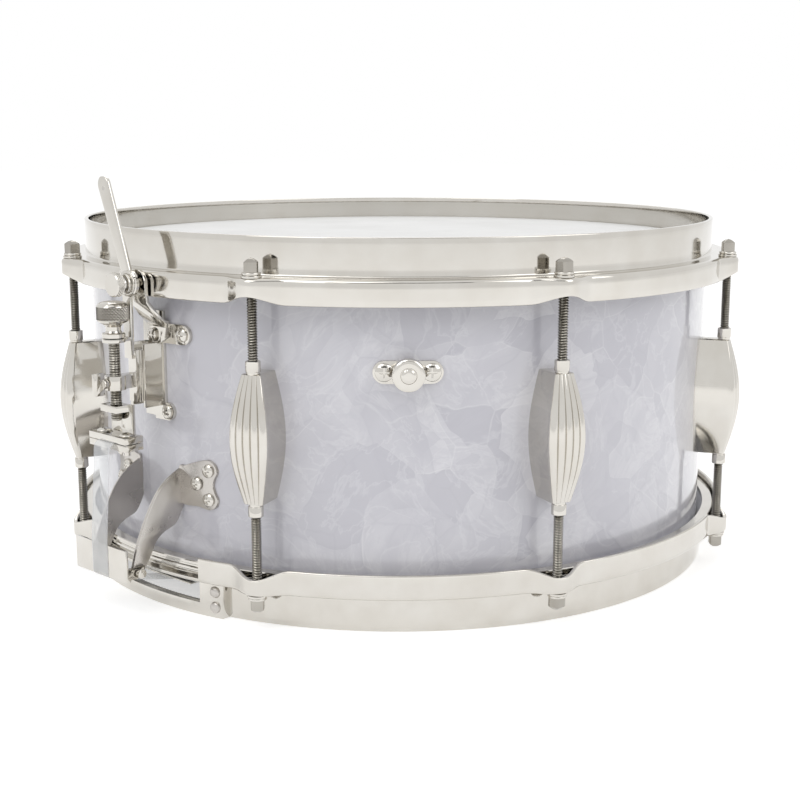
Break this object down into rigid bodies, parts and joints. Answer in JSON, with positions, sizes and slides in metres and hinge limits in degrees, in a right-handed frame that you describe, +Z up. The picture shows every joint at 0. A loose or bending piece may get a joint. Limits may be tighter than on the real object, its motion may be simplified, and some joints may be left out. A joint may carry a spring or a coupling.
{
  "type": "snare drum",
  "caption": "Snare drum with a pearl-wrapped shell, flanged hoops, tension rods and lugs, a lever strainer that drops its coiled wires, and a tone control.",
  "frame": {"origin": "drum axis at the bottom edge of the bottom hoop", "axes": "+Z up along the drum axis, -Y towards the strainer, +Y towards the butt end"},
  "size_m": [0.38, 0.4338, 0.2183],
  "materials": {
    "plywood": "clear lacquered ply",
    "pearl": "glossy pearl with lavender-grey marbling",
    "coated_film": "white sprayed film",
    "clear_film": "thin hazy film",
    "strap_film": "clear polyester strap",
    "felt": "pressed wool felt",
    "rod_steel": "plated steel thread",
    "steel": "plain steel",
    "nickel": "bright nickel plate"
  },
  "bodies": {
    "drum": {"shell": "plywood", "pearl_wrap": "pearl", "reinforcement_rings": "plywood", "batter_head": "coated_film", "snare_head": "clear_film", "batter_flesh_hoop": "nickel", "snare_flesh_hoop": "nickel", "top_hoop": "nickel", "bottom_hoop": "nickel", "lugs": "nickel", "swivel_nuts": "nickel", "lug_screws": "steel", "rod_washers": "nickel", "air_vent": "nickel", "snare_wires": "steel", "snare_end_plates": "nickel", "bridge_arms": "nickel", "arm_screws": "nickel", "strainer_bridge": "nickel", "butt_bridge": "nickel", "snare_guards": "nickel", "guard_rivets": "nickel", "strainer_base": "nickel", "strainer_screws": "nickel", "pivot_bolt": "nickel", "pivot_washers": "nickel", "strainer_strap": "strap_film", "butt_plate": "nickel", "butt_clamp": "nickel", "butt_screws": "nickel", "butt_strap": "strap_film", "tone_plate": "nickel", "muffler_bracket": "steel"},
    "lever": {"throw_off_lever": "nickel"},
    "pivot_cap_body": {"pivot_cap": "nickel"},
    "slider_body": {"slider": "nickel"},
    "knob_body": {"tension_knob": "nickel"},
    "wing_body": {"wing_screw": "nickel"},
    "carriage_body": {"carriage": "nickel", "strainer_clamp": "nickel", "clamp_screws": "nickel"},
    "tone_body": {"tone_knob": "nickel"},
    "muffler_body": {"muffler_arm": "steel", "muffler_pad": "felt"},
    "top_rod_1_body": {"top_rod_1": "rod_steel"},
    "bottom_rod_1_body": {"bottom_rod_1": "rod_steel"},
    "top_rod_2_body": {"top_rod_2": "rod_steel"},
    "bottom_rod_2_body": {"bottom_rod_2": "rod_steel"},
    "top_rod_3_body": {"top_rod_3": "rod_steel"},
    "bottom_rod_3_body": {"bottom_rod_3": "rod_steel"},
    "top_rod_4_body": {"top_rod_4": "rod_steel"},
    "bottom_rod_4_body": {"bottom_rod_4": "rod_steel"},
    "top_rod_5_body": {"top_rod_5": "rod_steel"},
    "bottom_rod_5_body": {"bottom_rod_5": "rod_steel"},
    "top_rod_6_body": {"top_rod_6": "rod_steel"},
    "bottom_rod_6_body": {"bottom_rod_6": "rod_steel"},
    "top_rod_7_body": {"top_rod_7": "rod_steel"},
    "bottom_rod_7_body": {"bottom_rod_7": "rod_steel"},
    "top_rod_8_body": {"top_rod_8": "rod_steel"},
    "bottom_rod_8_body": {"bottom_rod_8": "rod_steel"}
  },
  "joints": [
    {"name": "throw_off", "type": "hinge", "parent": "drum", "child": "lever", "pos_m": [0.0055, -0.195, 0.167], "axis": [0, -1, 0], "range_deg": [0, 75]},
    {"name": "snare_drop", "type": "slide", "parent": "drum", "child": "slider_body", "axis": [0, 0, -1], "range_m": [0, 0.00792], "deforming": ["strainer_strap"]},
    {"name": "pivot_cap_turn", "type": "hinge", "parent": "drum", "child": "pivot_cap_body", "pos_m": [0.0055, -0.2, 0.167], "axis": [0, -1, 0], "range_deg": [-90, 360]},
    {"name": "tension_turn", "type": "hinge", "parent": "slider_body", "child": "knob_body", "pos_m": [0, -0.2033, 0.15], "axis": [0, 0, 1], "range_deg": [-1350, 1350]},
    {"name": "tension_travel", "type": "slide", "parent": "slider_body", "child": "carriage_body", "axis": [0, 0, 1], "range_m": [-0.0031, 0.0031], "deforming": ["strainer_strap"]},
    {"name": "wing_turn", "type": "hinge", "parent": "slider_body", "child": "wing_body", "pos_m": [0, -0.209, 0.118], "axis": [0, -1, 0], "range_deg": [-30, 180]},
    {"name": "tone_turn", "type": "hinge", "parent": "drum", "child": "tone_body", "pos_m": [0.12728, -0.12728, 0.1285], "axis": [0.7071, -0.7071, 0], "range_deg": [0, 180]},
    {"name": "muffler_lift", "type": "hinge", "parent": "drum", "child": "muffler_body", "pos_m": [0.113, -0.113, 0.1285], "axis": [0.7071, 0.7071, 0], "range_deg": [0, 7.6]},
    {"name": "top_rod_1_turn", "type": "hinge", "parent": "drum", "child": "top_rod_1_body", "pos_m": [0.07313, -0.17655, 0.165], "axis": [0, 0, 1], "continuous": true},
    {"name": "bottom_rod_1_turn", "type": "hinge", "parent": "drum", "child": "bottom_rod_1_body", "pos_m": [0.07313, -0.17655, 0.027], "axis": [0, 0, 1], "continuous": true},
    {"name": "top_rod_2_turn", "type": "hinge", "parent": "drum", "child": "top_rod_2_body", "pos_m": [0.17655, -0.07313, 0.165], "axis": [0, 0, 1], "continuous": true},
    {"name": "bottom_rod_2_turn", "type": "hinge", "parent": "drum", "child": "bottom_rod_2_body", "pos_m": [0.17655, -0.07313, 0.027], "axis": [0, 0, 1], "continuous": true},
    {"name": "top_rod_3_turn", "type": "hinge", "parent": "drum", "child": "top_rod_3_body", "pos_m": [0.17655, 0.07313, 0.165], "axis": [0, 0, 1], "continuous": true},
    {"name": "bottom_rod_3_turn", "type": "hinge", "parent": "drum", "child": "bottom_rod_3_body", "pos_m": [0.17655, 0.07313, 0.027], "axis": [0, 0, 1], "continuous": true},
    {"name": "top_rod_4_turn", "type": "hinge", "parent": "drum", "child": "top_rod_4_body", "pos_m": [0.07313, 0.17655, 0.165], "axis": [0, 0, 1], "continuous": true},
    {"name": "bottom_rod_4_turn", "type": "hinge", "parent": "drum", "child": "bottom_rod_4_body", "pos_m": [0.07313, 0.17655, 0.027], "axis": [0, 0, 1], "continuous": true},
    {"name": "top_rod_5_turn", "type": "hinge", "parent": "drum", "child": "top_rod_5_body", "pos_m": [-0.07313, 0.17655, 0.165], "axis": [0, 0, 1], "continuous": true},
    {"name": "bottom_rod_5_turn", "type": "hinge", "parent": "drum", "child": "bottom_rod_5_body", "pos_m": [-0.07313, 0.17655, 0.027], "axis": [0, 0, 1], "continuous": true},
    {"name": "top_rod_6_turn", "type": "hinge", "parent": "drum", "child": "top_rod_6_body", "pos_m": [-0.17655, 0.07313, 0.165], "axis": [0, 0, 1], "continuous": true},
    {"name": "bottom_rod_6_turn", "type": "hinge", "parent": "drum", "child": "bottom_rod_6_body", "pos_m": [-0.17655, 0.07313, 0.027], "axis": [0, 0, 1], "continuous": true},
    {"name": "top_rod_7_turn", "type": "hinge", "parent": "drum", "child": "top_rod_7_body", "pos_m": [-0.17655, -0.07313, 0.165], "axis": [0, 0, 1], "continuous": true},
    {"name": "bottom_rod_7_turn", "type": "hinge", "parent": "drum", "child": "bottom_rod_7_body", "pos_m": [-0.17655, -0.07313, 0.027], "axis": [0, 0, 1], "continuous": true},
    {"name": "top_rod_8_turn", "type": "hinge", "parent": "drum", "child": "top_rod_8_body", "pos_m": [-0.07313, -0.17655, 0.165], "axis": [0, 0, 1], "continuous": true},
    {"name": "bottom_rod_8_turn", "type": "hinge", "parent": "drum", "child": "bottom_rod_8_body", "pos_m": [-0.07313, -0.17655, 0.027], "axis": [0, 0, 1], "continuous": true}
  ],
  "couplings": [
    {"joint": "snare_drop", "follows": "throw_off", "m_per_rad": 0.0060458},
    {"joint": "tension_travel", "follows": "tension_turn", "m_per_rad": 0.00012732},
    {"joint": "muffler_lift", "follows": "tone_turn", "ratio": 0.041667}
  ]
}
